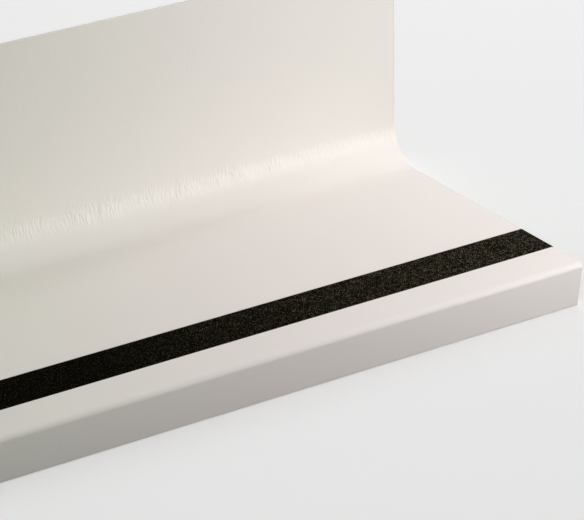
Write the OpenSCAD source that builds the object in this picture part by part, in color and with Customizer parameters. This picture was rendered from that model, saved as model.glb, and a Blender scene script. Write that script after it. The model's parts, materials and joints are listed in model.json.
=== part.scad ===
// Rubber stair tread with a square nose and a coved riser, in one moulded piece,
// with an abrasive strip that lies in a recess behind the nose.
// The section is drawn as it is fitted to a step: its first axis runs from the nose
// back to the riser, its second axis is up, and zero is where the plane of the walking
// surface meets the plane of the riser's face. The length runs along X.
// Unheld, the piece stands on the bottom of its lip and on the heel of its cove.

/* [Stock] */
// Length of the tread
length = 1067; // [600:1:2000]

/* [Tread] */
// Depth of the walking surface, from the riser's face to the front of the nose
tread_d = 310; // [260:1:360]
// Thickness of the tread at the nose, from where it thins towards the cove
nose_t = 6.4; // [5:0.1:9]

/* [Nose] */
// Height of the nose, from the walking surface to the bottom of the lip
nose_h = 46; // [25:0.5:70]
// Angle by which the face of the nose leans back from upright
nose_rake = 7.3; // [0:0.1:15]
// Radius of the edge between the walking surface and the face of the nose
nose_r = 5.5; // [2:0.5:12]
// Thickness of the lip where it leaves the tread
lip_t = 6; // [4.5:0.1:9]
// Thickness of the lip at its bottom
lip_end_t = 4.6; // [3:0.1:8]
// Radius of the two edges along the bottom of the lip
lip_edge_r = 1.2; // [0.4:0.1:1.4]
// Radius of the inside corner between the tread and the lip
inner_r = 2.5; // [2.2:0.1:6]

/* [Cove and riser] */
// Radius of the cove between the walking surface and the riser's face
cove_r = 38; // [15:1:60]
// Height of the riser above the walking surface
riser_h = 217; // [120:1:260]
// Thickness of the riser, of the cove and of the tread where it meets the cove
riser_t = 3.2; // [2:0.1:4.8]
// Radius of the two edges along the top of the riser
riser_edge_r = 0.8; // [0.3:0.1:0.9]

/* [Abrasive strip] */
// Width of the strip
strip_w = 50; // [20:1:80]
// Thickness of the strip
strip_t = 2; // [1:0.1:3]
// Distance from the front of the nose to the strip
strip_setback = 45; // [20:1:90]
// Depth of the recess that the strip lies in
recess_d = 1.8; // [0.6:0.1:2.4]
// Gap between each side of the strip and its recess
strip_gap = 0.2; // [0.05:0.05:0.6]
// Radius of the two edges along the top of the strip
strip_edge_r = 0.4; // [0.1:0.1:0.9]

/* [Hidden] */
$fn = 96;
rubber_colour = [0.87, 0.85, 0.81];
grit_colour = [0.07, 0.07, 0.07];
// Reach of a corner piece or a cut past the surface that it starts from
overrun = 1;
// Reach of a round face past a flat one that it touches, so that no sliver is left between them
touch = 0.0003;

// Unit vectors down the face of the nose, and from that face into the lip
face_down = [sin(nose_rake), -cos(nose_rake)];
face_in = [cos(nose_rake), sin(nose_rake)];

// Corners of the nose and its lip, before they are rounded
nose_top = [-tread_d, 0];
lip_front = nose_top + face_down * nose_h / cos(nose_rake);
lip_back = lip_front + face_in * lip_end_t;
lip_root = [-tread_d + (lip_t + nose_t * sin(nose_rake)) / cos(nose_rake), -nose_t];
lip_up = unit(lip_root - lip_back);

// Centre of the cove, and radius of its heel, which is its outside
cove_c = [-cove_r, cove_r];
heel_r = cove_r + riser_t;

// The underside leaves the lip's root at an angle that makes it touch the heel
root_to_cove = cove_c - lip_root;
taper = atan2(root_to_cove.y, root_to_cove.x) - asin(heel_r / norm(root_to_cove));
underside_back = [cos(taper), sin(taper)];
heel_start = cove_c + (heel_r - touch) * [sin(taper), -cos(taper)];

// Front edge and top of the strip
strip_front = strip_setback - tread_d;
strip_top = strip_t - recess_d;

// Centres of the rounded corners that the piece reaches furthest with
nose_c = round_centre(nose_top, [1, 0], face_down, nose_r);
lip_front_c = round_centre(lip_front, -face_down, face_in, lip_edge_r);
lip_back_c = round_centre(lip_back, -face_in, lip_up, lip_edge_r);
riser_back_c = [riser_t, riser_h] - [riser_edge_r, riser_edge_r];

// Angle by which the nose lifts when the lip and the heel stand on a level floor
rest_tilt = max(floor_angle(lip_front_c), floor_angle(lip_back_c));
floor_z = at_rest(cove_c).y - heel_r;
front_y = min(at_rest(nose_c).x - nose_r, at_rest(lip_front_c).x - lip_edge_r);
back_y = at_rest(riser_back_c).x + riser_edge_r;
middle_y = (front_y + back_y) / 2;

// Vector v at a length of one
function unit(v) = v / norm(v);

// Half of the angle between the unit vectors a and b
function half_angle(a, b) = acos(a * b) / 2;

// Centre of the circle of radius r that touches both edges of corner p, which leave it along a and b
function round_centre(p, a, b, r) = p + unit(a + b) * r / sin(half_angle(a, b));

// Angle of the line under both the heel and the lip's rounded corner at c
function floor_angle(c) =
    let (w = cove_c - c)
    atan2(w.y, w.x) - asin((heel_r - lip_edge_r) / norm(w));

// Point p of the section, turned as the piece stands on the floor
function at_rest(p) = [
    p.x * cos(rest_tilt) + p.y * sin(rest_tilt),
    p.y * cos(rest_tilt) - p.x * sin(rest_tilt)
];

// What lies between corner p, whose edges leave it along a and b, and its rounding of radius r.
// It is cut from an outside corner and added to an inside one.
module corner(p, a, b, r) {
    half = half_angle(a, b);
    bisector = a + b;
    far_r = r + overrun;
    translate(p)
        rotate(atan2(bisector.y, bisector.x))
            translate([r / sin(half), 0])
                difference() {
                    polygon([
                        [0, 0],
                        far_r * [-sin(half), cos(half)],
                        [-far_r / sin(half), 0],
                        far_r * [-sin(half), -cos(half)]
                    ]);
                    circle(r + touch);
                }
}

// Quarter ring that bends the tread up into the riser
module cove_section() {
    translate(cove_c)
        difference() {
            intersection() {
                circle(heel_r);
                translate([0, -heel_r]) square(heel_r);
            }
            circle(cove_r);
        }
}

// Tread, lip, cove and riser with square corners
module square_section() {
    polygon([[-cove_r, 0], nose_top, lip_front, lip_back, lip_root, heel_start]);
    cove_section();
    translate([0, cove_r]) square([riser_t, riser_h - cove_r]);
}

// Section of the rubber, with its corners rounded and the strip's recess cut
module rubber_section() {
    difference() {
        union() {
            square_section();
            corner(lip_root, -lip_up, underside_back, inner_r);
        }
        corner(nose_top, [1, 0], face_down, nose_r);
        corner(lip_front, -face_down, face_in, lip_edge_r);
        corner(lip_back, -face_in, lip_up, lip_edge_r);
        corner([0, riser_h], [1, 0], [0, -1], riser_edge_r);
        corner([riser_t, riser_h], [-1, 0], [0, -1], riser_edge_r);
        translate([strip_front - strip_gap, -recess_d])
            square([strip_w + 2 * strip_gap, recess_d + overrun]);
    }
}

// Section of the abrasive strip, on the floor of its recess
module strip_section() {
    difference() {
        translate([strip_front, -recess_d]) square([strip_w, strip_t]);
        corner([strip_front, strip_top], [1, 0], [0, -1], strip_edge_r);
        corner([strip_front + strip_w, strip_top], [-1, 0], [0, -1], strip_edge_r);
    }
}

// Runs a section along the length and stands it on the floor, over the middle of its footprint
module stock() {
    translate([0, -middle_y, -floor_z])
        rotate([-rest_tilt, 0, 0])
            rotate([90, 0, 90])
                linear_extrude(length, center = true)
                    children();
}

// The rubber: tread, nose, cove and riser moulded as one
module tread_riser() {
    color(rubber_colour) stock() rubber_section();
}

// The black strip of abrasive grains
module grit_strip() {
    color(grit_colour) stock() strip_section();
}

tread_riser();
grit_strip();
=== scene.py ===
import json
import math

import bpy
from mathutils import Matrix, Vector


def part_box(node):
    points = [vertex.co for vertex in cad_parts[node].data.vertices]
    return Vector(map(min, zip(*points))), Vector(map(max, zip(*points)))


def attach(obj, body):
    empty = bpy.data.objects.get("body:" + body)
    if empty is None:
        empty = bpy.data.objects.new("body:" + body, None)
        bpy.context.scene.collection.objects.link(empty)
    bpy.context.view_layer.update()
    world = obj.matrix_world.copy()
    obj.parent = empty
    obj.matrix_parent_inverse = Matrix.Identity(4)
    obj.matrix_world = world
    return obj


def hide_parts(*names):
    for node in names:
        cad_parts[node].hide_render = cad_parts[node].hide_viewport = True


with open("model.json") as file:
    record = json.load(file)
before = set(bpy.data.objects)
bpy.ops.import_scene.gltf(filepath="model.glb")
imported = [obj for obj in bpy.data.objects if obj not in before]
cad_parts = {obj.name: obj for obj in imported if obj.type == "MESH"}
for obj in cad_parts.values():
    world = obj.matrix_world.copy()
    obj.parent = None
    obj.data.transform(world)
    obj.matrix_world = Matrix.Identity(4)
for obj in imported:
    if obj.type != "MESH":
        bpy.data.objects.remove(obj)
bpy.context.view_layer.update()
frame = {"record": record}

bpy.ops.object.select_all(action="DESELECT")


# The rubber: tread, square nose, cove and riser, moulded in one piece of pale rubber that is
# thickest at the nose. Its face has a satin leather grain and a tone that drifts a little, its
# back is left matt for the adhesive, and both ends are cut square.
TREAD_DEPTH = 0.310
NOSE_THICKNESS = 0.0064
NOSE_HEIGHT = 0.046
NOSE_RAKE = math.radians(7.3)
NOSE_RADIUS = 0.0055
LIP_ROOT_THICKNESS = 0.006
LIP_END_THICKNESS = 0.0046
LIP_EDGE_RADIUS = 0.0012
INSIDE_RADIUS = 0.0025
COVE_RADIUS = 0.038
RISER_HEIGHT = 0.217
RISER_THICKNESS = 0.0032
RISER_EDGE_RADIUS = 0.0008
STRIP_WIDTH = 0.050
STRIP_SETBACK = 0.045
RECESS_DEPTH = 0.0018
RECESS_GAP = 0.0002
SAME_POINT = RECESS_GAP / 10
COVE_STEPS = 40
NOSE_STEPS = 12
SMALL_STEPS = 5
SMOOTH_ANGLE = math.radians(35)

rubber_low, rubber_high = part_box("tread_riser")
LENGTH = rubber_high.x - rubber_low.x
riser_normal = next(m["axis"] for m in frame["record"]["mounts"] if m["name"] == "riser_back")
REST_TILT = math.atan2(-riser_normal[2], riser_normal[1])


def section_point(back, up):
    """A point of the section as it is fitted: back from the riser's face, up from the tread."""
    return Vector((-LENGTH / 2, back, up))


def select_points(piece, wanted):
    """Selects the vertices of a mesh whose place passes the test."""
    bpy.context.tool_settings.mesh_select_mode = (True, False, False)
    for group in (piece.data.polygons, piece.data.edges, piece.data.vertices):
        group.foreach_set("select", [False] * len(group))
    for vertex in piece.data.vertices:
        vertex.select = wanted(vertex.co)


def draw_outline(name, corners):
    """A small plane is merged to one point, which is extruded from corner to corner and closed."""
    bpy.ops.mesh.primitive_plane_add(size=LIP_EDGE_RADIUS)
    piece = bpy.context.object
    piece.name = piece.data.name = name
    bpy.ops.object.mode_set(mode="EDIT")
    bpy.ops.mesh.merge(type="CENTER")
    bpy.ops.transform.translate(value=corners[0])
    for here, there in zip(corners, corners[1:]):
        bpy.ops.mesh.extrude_vertices_move(TRANSFORM_OT_translate={"value": there - here})
    bpy.ops.object.mode_set(mode="OBJECT")
    ends = (corners[0], corners[-1])
    select_points(piece, lambda place: min((place - end).length for end in ends) < SAME_POINT)
    bpy.ops.object.mode_set(mode="EDIT")
    bpy.ops.mesh.edge_face_add()
    bpy.ops.object.mode_set(mode="OBJECT")
    return piece


def round_corner(piece, corners, corner, radius, steps):
    """The outline's point at that corner is bevelled into an arc of that radius."""
    at = corners.index(corner)
    before, after = corners[at - 1], corners[(at + 1) % len(corners)]
    half = (before - corner).angle(after - corner) / 2
    select_points(piece, lambda place: (place - corner).length < SAME_POINT)
    bpy.ops.object.mode_set(mode="EDIT")
    bpy.ops.mesh.bevel(
        affect="VERTICES", offset_type="OFFSET", offset=radius / math.tan(half),
        segments=steps, profile=0.5, clamp_overlap=False,
    )
    bpy.ops.object.mode_set(mode="OBJECT")


def measure_round(piece, start, towards):
    """Walks round the outline, and stores and gives how far along it each vertex lies."""
    mesh = piece.data
    beside = {v.index: [] for v in mesh.vertices}
    for edge in mesh.edges:
        a, b = edge.vertices
        beside[a].append(b)
        beside[b].append(a)
    place = [v.co.copy() for v in mesh.vertices]
    here = min(beside, key=lambda i: (place[i] - start).length)
    after = min(beside[here], key=lambda i: (place[i] - towards).length)
    along = {here: 0.0}
    while after not in along:
        along[after] = along[here] + (place[after] - place[here]).length
        here, after = after, next((i for i in beside[after] if i not in along), after)
    stored = mesh.attributes.new("along_section", "FLOAT", "POINT")
    stored.data.foreach_set("value", [along[v.index] for v in mesh.vertices])
    return [(place[i], along[i]) for i in along]


def run_along_length(piece):
    """The closed outline is filled and extruded over the whole length."""
    bpy.ops.object.mode_set(mode="EDIT")
    bpy.ops.mesh.select_all(action="SELECT")
    bpy.ops.mesh.edge_face_add()
    bpy.ops.mesh.extrude_region_move(TRANSFORM_OT_translate={"value": (LENGTH, 0, 0)})
    bpy.ops.mesh.select_all(action="SELECT")
    bpy.ops.mesh.normals_make_consistent(inside=False)
    bpy.ops.object.mode_set(mode="OBJECT")


def lay_to_rest(piece, shift):
    """Turns a piece from the way it is fitted on to its lip and heel, and moves it by shift."""
    piece.rotation_euler.x = -REST_TILT
    piece.location = shift
    bpy.ops.object.select_all(action="DESELECT")
    piece.select_set(True)
    bpy.context.view_layer.objects.active = piece
    bpy.ops.object.transform_apply(location=True, rotation=True, scale=True)


nose_top = section_point(-TREAD_DEPTH, 0)
lip_front = nose_top + NOSE_HEIGHT * Vector((0, math.tan(NOSE_RAKE), -1))
lip_back = lip_front + LIP_END_THICKNESS * Vector((0, math.cos(NOSE_RAKE), math.sin(NOSE_RAKE)))
lip_root_reach = (LIP_ROOT_THICKNESS + NOSE_THICKNESS * math.sin(NOSE_RAKE)) / math.cos(NOSE_RAKE)
lip_root = nose_top + Vector((0, lip_root_reach, -NOSE_THICKNESS))
cove_centre = section_point(-COVE_RADIUS, COVE_RADIUS)
to_cove = cove_centre - lip_root
heel_radius = COVE_RADIUS + RISER_THICKNESS
taper = math.atan2(to_cove.z, to_cove.y) - math.asin(heel_radius / to_cove.length)
heel_drop = NOSE_THICKNESS - math.tan(taper) * (RISER_THICKNESS - lip_root.y)
heel = section_point(RISER_THICKNESS, -heel_drop)
riser_back_top = section_point(RISER_THICKNESS, RISER_HEIGHT)
riser_front_top = section_point(0, RISER_HEIGHT)
cove = section_point(0, 0)
recess_front = STRIP_SETBACK - TREAD_DEPTH - RECESS_GAP
recess_back = STRIP_SETBACK - TREAD_DEPTH + STRIP_WIDTH + RECESS_GAP
rubber_corners = [
    riser_back_top,
    riser_front_top,
    cove,
    section_point(recess_back, 0),
    section_point(recess_back, -RECESS_DEPTH),
    section_point(recess_front, -RECESS_DEPTH),
    section_point(recess_front, 0),
    nose_top,
    lip_front,
    lip_back,
    lip_root,
    heel,
]
rubber = draw_outline("rubber_moulding", rubber_corners)
round_corner(rubber, rubber_corners, riser_back_top, RISER_EDGE_RADIUS, SMALL_STEPS)
round_corner(rubber, rubber_corners, riser_front_top, RISER_EDGE_RADIUS, SMALL_STEPS)
round_corner(rubber, rubber_corners, cove, COVE_RADIUS, COVE_STEPS)
round_corner(rubber, rubber_corners, nose_top, NOSE_RADIUS, NOSE_STEPS)
round_corner(rubber, rubber_corners, lip_front, LIP_EDGE_RADIUS, SMALL_STEPS)
round_corner(rubber, rubber_corners, lip_back, LIP_EDGE_RADIUS, SMALL_STEPS)
round_corner(rubber, rubber_corners, lip_root, INSIDE_RADIUS, SMALL_STEPS)
round_corner(rubber, rubber_corners, heel, heel_radius, COVE_STEPS)
outline = measure_round(rubber, riser_back_top, riser_front_top)
face_end = min(outline, key=lambda entry: (entry[0] - lip_front).length)[1]
run_along_length(rubber)
lay_to_rest(rubber, Vector())
fitted_low = Vector(min(v.co[axis] for v in rubber.data.vertices) for axis in range(3))
REST_SHIFT = rubber_low - fitted_low
rubber.data.transform(Matrix.Translation(REST_SHIFT))

# The finish of the rubber. Reaches along the length start at its middle, those round the
# section at the top of the riser's back, and those of the wrinkles where the cove starts.
FACE_COLOUR = (0.760, 0.742, 0.676, 1)
FACE_COLOUR_WARM = (0.766, 0.713, 0.684, 1)
FACE_SHINE = 0.3
FACE_ROUGHNESS = 0.46
FACE_ROUGHNESS_SWAY = 0.03
CLOUD_SIZE = 0.16
CLOUD_REACH = 0.2
CLOUD_WARMTH = 0.1
WARM_START = 0.14
WARM_END = 0.36
WARM_SLANT = 0.34
WARM_RISER_SHARE = 0.5
WARM_RISER_END = 0.15
WARM_TREAD_START = 0.30
COVE_START = RISER_THICKNESS + RISER_HEIGHT - COVE_RADIUS
WRINKLE_WIDTH = 0.0025
WRINKLE_LENGTH = 0.009
WRINKLE_TWIST = 0.6
WRINKLE_DEPTH = 0.0013
WRINKLES_TOP = -0.004
WRINKLES_DEEP_TOP = 0.008
WRINKLES_DEEP_END = 0.009
WRINKLES_END = 0.025
WRINKLES_FAINT = 0.08
WRINKLES_FADE_START = 0.30
WRINKLES_FADE_END = 0.46
WRINKLES_FADE_LEAST = 0.35
PATCH_WIDTH = 0.03
PATCH_LENGTH = 0.04
PATCH_REACH = 0.1
PATCH_LEAST = 0.3
PEBBLE_WIDTH = 0.0007
PEBBLE_LENGTH = 0.0009
PEBBLE_DEPTH = 0.00001
BACK_COLOUR = (0.66, 0.625, 0.575, 1)
BACK_ROUGHNESS = 0.8
BACK_GRAIN = 0.0009
BACK_GRAIN_DEPTH = 0.00008
CUT_COLOUR = (0.70, 0.662, 0.605, 1)
CUT_ROUGHNESS = 0.6
CUT_MARK = (0.0006, 0.0006, 0.012)
CUT_MARK_DEPTH = 0.00005
FACE, BACK, CUT = range(3)


def new_material(name, colour, roughness):
    """A material with its colour and roughness on the shader, and its nodes to add to."""
    material = bpy.data.materials.new(name)
    material.use_nodes = True
    shader = material.node_tree.nodes["Principled BSDF"]
    shader.inputs["Base Color"].default_value = colour
    shader.inputs["Roughness"].default_value = roughness
    return material, material.node_tree, shader


def add_node(tree, kind, inputs=None, **settings):
    """A node with its settings, and its inputs set to values or linked to other nodes' outputs."""
    node = tree.nodes.new(kind)
    for key, value in settings.items():
        setattr(node, key, value)
    for key, value in (inputs or {}).items():
        if isinstance(value, bpy.types.NodeSocket):
            tree.links.new(value, node.inputs[key])
        else:
            node.inputs[key].default_value = value
    return node


def combine(tree, operation, *values):
    """The result of a sum, product or other operation on values or other nodes' outputs."""
    return add_node(tree, "ShaderNodeMath", dict(enumerate(values)), operation=operation).outputs[0]


def remap(tree, value, low, high, to_low, to_high):
    """A value taken from one range to another, and kept inside it."""
    ends = {"Value": value, "From Min": low, "From Max": high, "To Min": to_low, "To Max": to_high}
    return add_node(tree, "ShaderNodeMapRange", ends, clamp=True).outputs["Result"]


def sharpen(tree, pattern, reach, to_low, to_high):
    """A pattern's values within reach of its middle, taken to another range and kept inside it."""
    return remap(tree, pattern, 0.5 - reach, 0.5 + reach, to_low, to_high)


def mix(tree, factor, first, second):
    """A colour between two, each given as a value or as another node's output."""
    node = add_node(tree, "ShaderNodeMix", {"Factor": factor}, data_type="RGBA")
    ends = [socket for socket in node.inputs if socket.type == "RGBA"]
    for socket, colour in zip(ends, (first, second)):
        if isinstance(colour, bpy.types.NodeSocket):
            tree.links.new(colour, socket)
        else:
            socket.default_value = colour
    return next(socket for socket in node.outputs if socket.type == "RGBA")


def object_place(tree):
    """A point's place on the object, in metres."""
    return add_node(tree, "ShaderNodeTexCoord").outputs["Object"]


def place_along(tree):
    """A point's place along the length, in metres from the middle towards the right end."""
    return add_node(tree, "ShaderNodeSeparateXYZ", {0: object_place(tree)}).outputs["X"]


def place_round(tree):
    """A point's place round the section, in metres from the top of the riser's back."""
    return add_node(tree, "ShaderNodeAttribute", attribute_name="along_section").outputs["Fac"]


def noise(tree, place, pitch, detail=2.0, roughness=0.5, distortion=0.0):
    """Smooth noise from 0 to 1, with features of about one pitch in metres along each axis."""
    scale = tuple(1 / p for p in pitch)
    where = add_node(tree, "ShaderNodeVectorMath", {0: place, 1: scale}, operation="MULTIPLY")
    settings = {
        "Vector": where.outputs[0], "Scale": 1.0,
        "Detail": detail, "Roughness": roughness, "Distortion": distortion,
    }
    return add_node(tree, "ShaderNodeTexNoise", settings).outputs["Fac"]


def face_noise(tree, width, length, **settings):
    """Noise that follows the section round its bends, as wide and as long as given."""
    place = add_node(tree, "ShaderNodeCombineXYZ", {"X": place_along(tree), "Y": place_round(tree)})
    return noise(tree, place.outputs[0], (width, length, 1), **settings)


def relief(tree, shader, heights):
    """Lays bumps on the shader's normal, each a height from 0 to 1 and its depth in metres."""
    normal = None
    for height, depth in heights:
        inputs = {"Height": height, "Distance": depth, "Strength": 1.0}
        if normal:
            inputs["Normal"] = normal
        normal = add_node(tree, "ShaderNodeBump", inputs).outputs["Normal"]
    tree.links.new(normal, shader.inputs["Normal"])


def wrinkle_height(tree):
    """Wrinkles up the section, deep where the riser bends into the cove and faint elsewhere."""
    round_from_cove = combine(tree, "SUBTRACT", place_round(tree), COVE_START)
    above = remap(tree, round_from_cove, WRINKLES_TOP, WRINKLES_DEEP_TOP, WRINKLES_FAINT, 1.0)
    below = remap(tree, round_from_cove, WRINKLES_DEEP_END, WRINKLES_END, 1.0, WRINKLES_FAINT)
    band = combine(tree, "MULTIPLY", above, below)
    fading = remap(
        tree, place_along(tree), WRINKLES_FADE_START, WRINKLES_FADE_END, 1.0, WRINKLES_FADE_LEAST,
    )
    patchy = face_noise(tree, PATCH_WIDTH, PATCH_LENGTH)
    patches = sharpen(tree, patchy, PATCH_REACH, PATCH_LEAST, 1.0)
    wrinkles = face_noise(tree, WRINKLE_WIDTH, WRINKLE_LENGTH, distortion=WRINKLE_TWIST)
    height = combine(tree, "MULTIPLY", wrinkles, patches)
    return combine(tree, "MULTIPLY", combine(tree, "MULTIPLY", height, band), fading)


def face_tone(tree, cloud):
    """A colour that is warmer at the right, by half as much on the riser, and a little cloudy."""
    slanting = combine(tree, "MULTIPLY_ADD", place_round(tree), WARM_SLANT, place_along(tree))
    drift = remap(tree, slanting, WARM_START, WARM_END, 0.0, 1.0)
    share = remap(tree, place_round(tree), WARM_RISER_END, WARM_TREAD_START, WARM_RISER_SHARE, 1.0)
    sway = sharpen(tree, cloud, CLOUD_REACH, -CLOUD_WARMTH, CLOUD_WARMTH)
    warmth = combine(tree, "ADD", sway, combine(tree, "MULTIPLY", drift, share))
    return mix(tree, warmth, FACE_COLOUR, FACE_COLOUR_WARM)


def face_material():
    """Satin leather grain: wrinkles where the section bends, over a fine pebble grain."""
    material, tree, shader = new_material("moulded_rubber_face", FACE_COLOUR, FACE_ROUGHNESS)
    shader.inputs["Specular IOR Level"].default_value = FACE_SHINE
    pebbles = face_noise(tree, PEBBLE_WIDTH, PEBBLE_LENGTH, detail=1.0)
    relief(tree, shader, [(pebbles, PEBBLE_DEPTH), (wrinkle_height(tree), WRINKLE_DEPTH)])
    cloud = noise(tree, object_place(tree), (CLOUD_SIZE,) * 3)
    tree.links.new(face_tone(tree, cloud), shader.inputs["Base Color"])
    smoothest = FACE_ROUGHNESS - FACE_ROUGHNESS_SWAY
    roughest = FACE_ROUGHNESS + FACE_ROUGHNESS_SWAY
    roughness = sharpen(tree, cloud, CLOUD_REACH, smoothest, roughest)
    tree.links.new(roughness, shader.inputs["Roughness"])
    return material


def back_material():
    """Matt back for the adhesive, as the blasted half of the mould leaves it."""
    material, tree, shader = new_material("matt_rubber_back", BACK_COLOUR, BACK_ROUGHNESS)
    grain = noise(tree, object_place(tree), (BACK_GRAIN,) * 3, detail=3.0, roughness=0.7)
    relief(tree, shader, [(grain, BACK_GRAIN_DEPTH)])
    return material


def cut_material():
    """Ends cut square with a blade, with its faint marks up the section."""
    material, tree, shader = new_material("cut_rubber_end", CUT_COLOUR, CUT_ROUGHNESS)
    relief(tree, shader, [(noise(tree, object_place(tree), CUT_MARK), CUT_MARK_DEPTH)])
    return material


for material in (face_material(), back_material(), cut_material()):
    rubber.data.materials.append(material)
distance = rubber.data.attributes["along_section"].data
for face in rubber.data.polygons:
    middle = sum(distance[i].value for i in face.vertices) / len(face.vertices)
    if round(abs(face.normal.x)) == 1:
        face.material_index = CUT
    elif middle > face_end:
        face.material_index = BACK
    else:
        face.material_index = FACE
rubber.data.shade_smooth()
bpy.ops.object.shade_smooth_by_angle(angle=SMOOTH_ANGLE)
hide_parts("tread_riser")
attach(rubber, "root")


# The abrasive strip: a black binder filled with mineral grit, cast as a bar and laid in the
# recess. Its top is a rough field of small facets, a little lower than the grains that stand
# out of it, with dust in it, and its colour is painted lighter towards the right end as painted
# light. Its sides and floor are plain.
STRIP_THICKNESS = 0.002
FIELD_DROP = 0.00035
FIELD_PITCH = 0.0008
FIELD_ROUGHNESS = 0.00022
BINDER_COLOUR = (0.0050, 0.0044, 0.0025, 1)
BINDER_SMOOTHEST = 0.4
BINDER_ROUGHEST = 0.7
BINDER_LUMP = 0.0012
BINDER_LUMP_REACH = 0.2
BINDER_LUMP_DEPTH = 0.0005
BINDER_DUST_AND_PAINTED_LIGHT = 0.045
# Dust colours that also paint light: laid more thickly towards the right end, they make that end
# lighter, as if it were lit more.
DUST_AND_PAINTED_LIGHT_GREY = (0.105, 0.102, 0.068, 1)
DUST_AND_PAINTED_LIGHT_BROWN = (0.155, 0.112, 0.058, 1)
DUST_AND_PAINTED_LIGHT_START = 0.05
DUST_AND_PAINTED_LIGHT_END = 0.45
DUST_CLUMP = 0.0042
DUST_CLUMP_REACH = 0.12
DUST_THINNEST = 0.1
DUST_THICKEST = 1.7
DUST_TONE = (0.0035, 0.0060, 0.0060)
DUST_TONE_REACH = 0.1

strip_columns = round(LENGTH / FIELD_PITCH)
strip_rows = round(STRIP_WIDTH / FIELD_PITCH)
strip_middle = STRIP_SETBACK - TREAD_DEPTH + STRIP_WIDTH / 2
strip_floor = -RECESS_DEPTH
strip_field = STRIP_THICKNESS - RECESS_DEPTH - FIELD_DROP


def stretch_field(name, length, width):
    """Names the flat primitive that was just added, and stretches it to that length and width."""
    piece = bpy.context.object
    piece.name = piece.data.name = name
    piece.scale = (length, width, 1)
    bpy.ops.object.transform_apply(location=True, rotation=True, scale=True)
    return piece


bpy.ops.object.select_all(action="DESELECT")
bpy.ops.mesh.primitive_grid_add(
    x_subdivisions=strip_columns, y_subdivisions=strip_rows, size=1,
    location=(0, strip_middle, strip_field),
)
strip = stretch_field("abrasive_strip", LENGTH, STRIP_WIDTH)
select_points(
    strip,
    lambda place: abs(place.x) < (LENGTH - FIELD_PITCH) / 2
    and abs(place.y - strip_middle) < (STRIP_WIDTH - FIELD_PITCH) / 2,
)
bpy.ops.object.mode_set(mode="EDIT")
bpy.ops.transform.vertex_random(offset=FIELD_ROUGHNESS, uniform=0, normal=0, seed=3)
bpy.ops.mesh.select_all(action="SELECT")
bpy.ops.mesh.region_to_loop()
bpy.ops.mesh.extrude_region_move(TRANSFORM_OT_translate={"value": (0, 0, strip_floor - strip_field)})
bpy.ops.mesh.edge_face_add()
bpy.ops.mesh.select_all(action="SELECT")
bpy.ops.mesh.normals_make_consistent(inside=False)
bpy.ops.object.mode_set(mode="OBJECT")
lay_to_rest(strip, REST_SHIFT)


def painted_light_towards_right_end(tree, least, most):
    """A value that rises along the length, over the stretch where the dust and the painted light that
    lightens the right end get stronger.
    """
    return remap(tree, place_along(tree), DUST_AND_PAINTED_LIGHT_START, DUST_AND_PAINTED_LIGHT_END, least, most)


def dusted_and_painted_light(tree, colour, share):
    """A colour with its share of the dust, which lies in small clumps of two tones; where the share
    rises towards the right end, it paints light there too.
    """
    clumps = noise(tree, object_place(tree), (DUST_CLUMP,) * 3)
    amount = sharpen(tree, clumps, DUST_CLUMP_REACH, DUST_THINNEST, DUST_THICKEST)
    tones = sharpen(tree, noise(tree, object_place(tree), DUST_TONE), DUST_TONE_REACH, 0.0, 1.0)
    dust = mix(tree, tones, DUST_AND_PAINTED_LIGHT_GREY, DUST_AND_PAINTED_LIGHT_BROWN)
    return mix(tree, combine(tree, "MULTIPLY", share, amount), colour, dust)


material, tree, shader = new_material("grit_binder", BINDER_COLOUR, BINDER_ROUGHEST)
shader.inputs["Specular IOR Level"].default_value = 0.0
# Painted light: the binder's colour gets lighter towards the right end, along with its dust.
share = painted_light_towards_right_end(tree, 0.0, BINDER_DUST_AND_PAINTED_LIGHT)
tree.links.new(dusted_and_painted_light(tree, BINDER_COLOUR, share), shader.inputs["Base Color"])
lumps = noise(tree, object_place(tree), (BINDER_LUMP,) * 3)
relief(tree, shader, [(lumps, BINDER_LUMP_DEPTH)])
roughness = sharpen(tree, lumps, BINDER_LUMP_REACH, BINDER_SMOOTHEST, BINDER_ROUGHEST)
tree.links.new(roughness, shader.inputs["Roughness"])
strip.data.materials.append(material)
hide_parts("grit_strip")
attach(strip, "root")


# The grains: broken silicon carbide, scattered over the binder while it is wet and held by
# it. Each is an angular chip of its own size, turn and shade, a few catch the light, and
# dust and painted light make them lighter towards the right end.
GRAIN_RADIUS = 0.00062
GRAIN_SMALLEST = 0.55
GRAIN_SPACING = 0.00118
GRAIN_CROWDING = 3e6
GRAIN_DARK = (0.0046, 0.0040, 0.0023, 1)
GRAIN_BROWN = (0.012, 0.009, 0.0045, 1)
GRAIN_GREY = (0.022, 0.019, 0.012, 1)
DARK_SHARE = 0.55
BROWN_SHARE = 0.85
GRAIN_DUST_AND_PAINTED_LIGHT = 1.3
GRAIN_SMOOTHEST = 0.28
GRAIN_ROUGHEST = 0.55
DULL_SHARE = 0.5
GLINT_LEFT = 0.12
GLINT_RIGHT = 0.8

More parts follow.
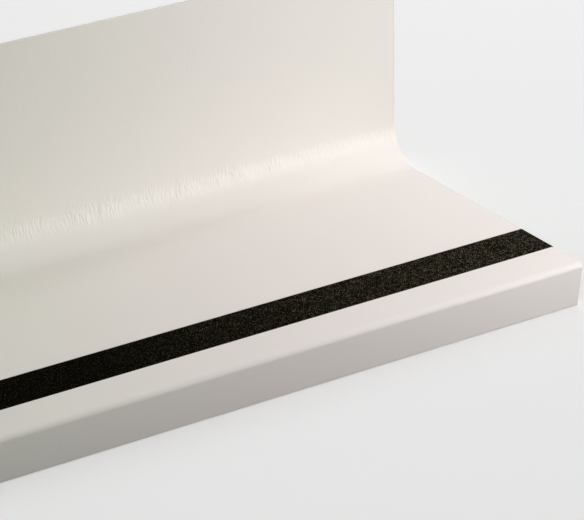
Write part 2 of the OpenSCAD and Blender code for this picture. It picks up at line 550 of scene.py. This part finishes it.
bpy.ops.object.select_all(action="DESELECT")
bpy.ops.mesh.primitive_plane_add(size=1, location=(0, strip_middle, strip_field))
grains = stretch_field("abrasive_grains", LENGTH - 2 * GRAIN_RADIUS, STRIP_WIDTH - 2 * GRAIN_RADIUS)
scatter = bpy.data.node_groups.new("scatter_grains", "GeometryNodeTree")
scatter.interface.new_socket("Geometry", in_out="INPUT", socket_type="NodeSocketGeometry")
scatter.interface.new_socket("Geometry", in_out="OUTPUT", socket_type="NodeSocketGeometry")
field = scatter.nodes.new("NodeGroupInput")
made = scatter.nodes.new("NodeGroupOutput")
points = add_node(
    scatter, "GeometryNodeDistributePointsOnFaces",
    {"Mesh": field.outputs[0], "Distance Min": GRAIN_SPACING, "Density Max": GRAIN_CROWDING, "Seed": 5},
    distribute_method="POISSON",
)
chip = add_node(scatter, "GeometryNodeMeshUVSphere", {"Segments": 4, "Rings": 2, "Radius": GRAIN_RADIUS})
turn = add_node(
    scatter, "FunctionNodeRandomValue", {"Min": (0, 0, 0), "Max": (math.tau,) * 3, "Seed": 8},
    data_type="FLOAT_VECTOR",
)
grow = add_node(
    scatter, "FunctionNodeRandomValue", {"Min": (GRAIN_SMALLEST,) * 3, "Max": (1.0,) * 3, "Seed": 9},
    data_type="FLOAT_VECTOR",
)
placed = add_node(
    scatter, "GeometryNodeInstanceOnPoints",
    {
        "Points": points.outputs["Points"],
        "Instance": chip.outputs["Mesh"],
        "Rotation": turn.outputs["Value"],
        "Scale": grow.outputs["Value"],
    },
)
shade = add_node(scatter, "FunctionNodeRandomValue", {"Seed": 12}, data_type="FLOAT")
shaded = add_node(
    scatter, "GeometryNodeStoreNamedAttribute",
    {"Geometry": placed.outputs["Instances"], "Name": "grain_shade"},
    data_type="FLOAT", domain="INSTANCE",
)
scatter.links.new(shade.outputs[1], next(i for i in shaded.inputs if i.name == "Value" and i.enabled))
solid = add_node(scatter, "GeometryNodeRealizeInstances", {"Geometry": shaded.outputs["Geometry"]})
scatter.links.new(solid.outputs["Geometry"], made.inputs[0])
modifier = grains.modifiers.new("scatter", "NODES")
modifier.node_group = scatter
bpy.ops.object.modifier_apply(modifier=modifier.name)
lay_to_rest(grains, REST_SHIFT)

material, tree, shader = new_material("grit_grains", GRAIN_DARK, GRAIN_ROUGHEST)
chance = add_node(tree, "ShaderNodeAttribute", attribute_name="grain_shade").outputs["Fac"]
ramp = add_node(tree, "ShaderNodeValToRGB", {"Fac": chance})
first_stop, last_stop = ramp.color_ramp.elements
first_stop.color = GRAIN_DARK
last_stop.color = GRAIN_GREY
for position, colour in ((DARK_SHARE, GRAIN_DARK), (BROWN_SHARE, GRAIN_BROWN)):
    ramp.color_ramp.elements.new(position).color = colour
# Painted light: the lighter grains get lighter still towards the right end, along with their dust.
share = combine(tree, "MULTIPLY", chance, painted_light_towards_right_end(tree, 0.0, GRAIN_DUST_AND_PAINTED_LIGHT))
tree.links.new(dusted_and_painted_light(tree, ramp.outputs["Color"], share), shader.inputs["Base Color"])
roughness = remap(tree, chance, 0.0, 1.0, GRAIN_ROUGHEST, GRAIN_SMOOTHEST)
tree.links.new(roughness, shader.inputs["Roughness"])
bright = remap(tree, chance, DULL_SHARE, 1.0, 0.0, 1.0)
glint = combine(tree, "MULTIPLY", bright, painted_light_towards_right_end(tree, GLINT_LEFT, GLINT_RIGHT))
tree.links.new(glint, shader.inputs["Specular IOR Level"])
grains.data.materials.clear()
grains.data.materials.append(material)
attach(grains, "root")


# The camera stands in front of the piece, above it and to its left. Its place is given for the
# piece as it is fitted, from the right end of the line where tread and riser meet.
AIM = Vector((-0.2207, -0.1501, 0))
AZIMUTH = math.radians(-32.45)
ELEVATION = math.radians(24.82)
ROLL = math.radians(0.897)
DISTANCE = 2.8335
LENS = 185.6
SENSOR = 36.0
NEAREST = 0.1
FARTHEST = 50

fitted_to_rest = Matrix.Translation(REST_SHIFT) @ Matrix.Rotation(-REST_TILT, 4, "X")
corner = Vector((LENGTH / 2, 0, 0))
towards_camera = Vector((
    math.sin(AZIMUTH) * math.cos(ELEVATION),
    -math.cos(AZIMUTH) * math.cos(ELEVATION),
    math.sin(ELEVATION),
))
facing = towards_camera.to_track_quat("Z", "Y").to_matrix().to_4x4()
standing = Matrix.Translation(corner + AIM + DISTANCE * towards_camera)
camera = bpy.data.objects.new("camera", bpy.data.cameras.new("camera"))
camera.data.lens = LENS
camera.data.sensor_width = SENSOR
camera.data.clip_start = NEAREST
camera.data.clip_end = FARTHEST
camera.matrix_world = fitted_to_rest @ standing @ facing @ Matrix.Rotation(-ROLL, 4, "Z")
bpy.context.scene.collection.objects.link(camera)
bpy.context.scene.camera = camera


# The studio: a plain pale floor under an even sky, lit by a large soft lamp above. Five low
# lamps, to the right of the piece and behind it, light the piece and leave the floor even. To
# the camera and in reflections, floor and sky look paler than the light they throw back.
FLOOR_SIZE = 30
FLOOR_SHOWN = (0.95, 0.95, 0.95, 1)
FLOOR_BOUNCE = (0.08, 0.08, 0.08, 1)
FLOOR_GLOW = 0.335
FLOOR_ROUGHNESS = 0.9
SKY_COLOUR = (1, 1, 1, 1)
SKY_SHOWN = 0.80
SKY_STRENGTH = 0.36


def seen_directly(tree):
    """One for rays from the camera, of reflections and through glass, zero for scattered light."""
    path = add_node(tree, "ShaderNodeLightPath").outputs
    either = combine(tree, "MAXIMUM", path["Is Camera Ray"], path["Is Glossy Ray"])
    return combine(tree, "MAXIMUM", either, path["Is Transmission Ray"])


bpy.ops.object.select_all(action="DESELECT")
bpy.ops.mesh.primitive_plane_add(size=FLOOR_SIZE, location=(0, 0, 0))
floor = bpy.context.object
floor.name = "studio_floor"
material, tree, shader = new_material("studio_floor", FLOOR_SHOWN, FLOOR_ROUGHNESS)
shader.inputs["Specular IOR Level"].default_value = 0.0
seen = seen_directly(tree)
tree.links.new(mix(tree, seen, FLOOR_BOUNCE, FLOOR_SHOWN), shader.inputs["Base Color"])
tree.links.new(combine(tree, "MULTIPLY", seen, FLOOR_GLOW), shader.inputs["Emission Strength"])
floor.data.materials.append(material)

# A lamp that has this collection as its receivers lights all but the floor
unlit_floor = bpy.data.collections.new("unlit_floor")
unlit_floor.objects.link(floor)
unlit_floor.collection_objects[0].light_linking.link_state = "EXCLUDE"


def soft_lamp(name, power, width, place, aim):
    """A square soft lamp of that power in watts, which faces a point."""
    lamp = bpy.data.lights.new(name, "AREA")
    lamp.shape = "SQUARE"
    lamp.size = width
    lamp.energy = power
    stand = bpy.data.objects.new(name, lamp)
    stand.location = place
    stand.rotation_mode = "QUATERNION"
    stand.rotation_quaternion = (Vector(aim) - Vector(place)).to_track_quat("-Z", "Y")
    bpy.context.scene.collection.objects.link(stand)
    return stand


side_lamp = soft_lamp("side_lamp", power=13.7, width=0.8, place=(1.5, -0.9, 0.6), aim=(0.4, 0, 0.05))
end_lamp = soft_lamp("end_lamp", power=33.0, width=0.6, place=(2.2, 0.3, 0.5), aim=(0.3, 0, 0.05))
nose_lamp = soft_lamp("nose_lamp", power=3.1, width=0.4, place=(1.1, -0.7, 0.3), aim=(0.45, -0.15, 0.03))
shine_lamp = soft_lamp(
    "shine_lamp", power=8.0, width=0.3, place=(1.05, -1.15, 0.42), aim=(0.1, 0.13, 0.03),
)
rear_lamp = soft_lamp("rear_lamp", power=14.0, width=0.8, place=(-0.3, 1.9, 0.3), aim=(0, 0.17, 0.1))
soft_lamp("top_lamp", power=5.5, width=1.6, place=(1.0, 0.6, 1.3), aim=(0.3, 0, 0))
shine_lamp.visible_diffuse = False
end_lamp.visible_glossy = False
nose_lamp.visible_glossy = False
for lamp in (side_lamp, end_lamp, nose_lamp, shine_lamp, rear_lamp):
    lamp.light_linking.receiver_collection = unlit_floor
world = bpy.data.worlds.new("studio_sky")
world.use_nodes = True
tree = world.node_tree
sky = tree.nodes["Background"]
sky.inputs["Color"].default_value = SKY_COLOUR
strength = remap(tree, seen_directly(tree), 0.0, 1.0, SKY_STRENGTH, SKY_SHOWN)
tree.links.new(strength, sky.inputs["Strength"])
bpy.context.scene.world = world
bpy.context.scene.view_settings.view_transform = "Standard"
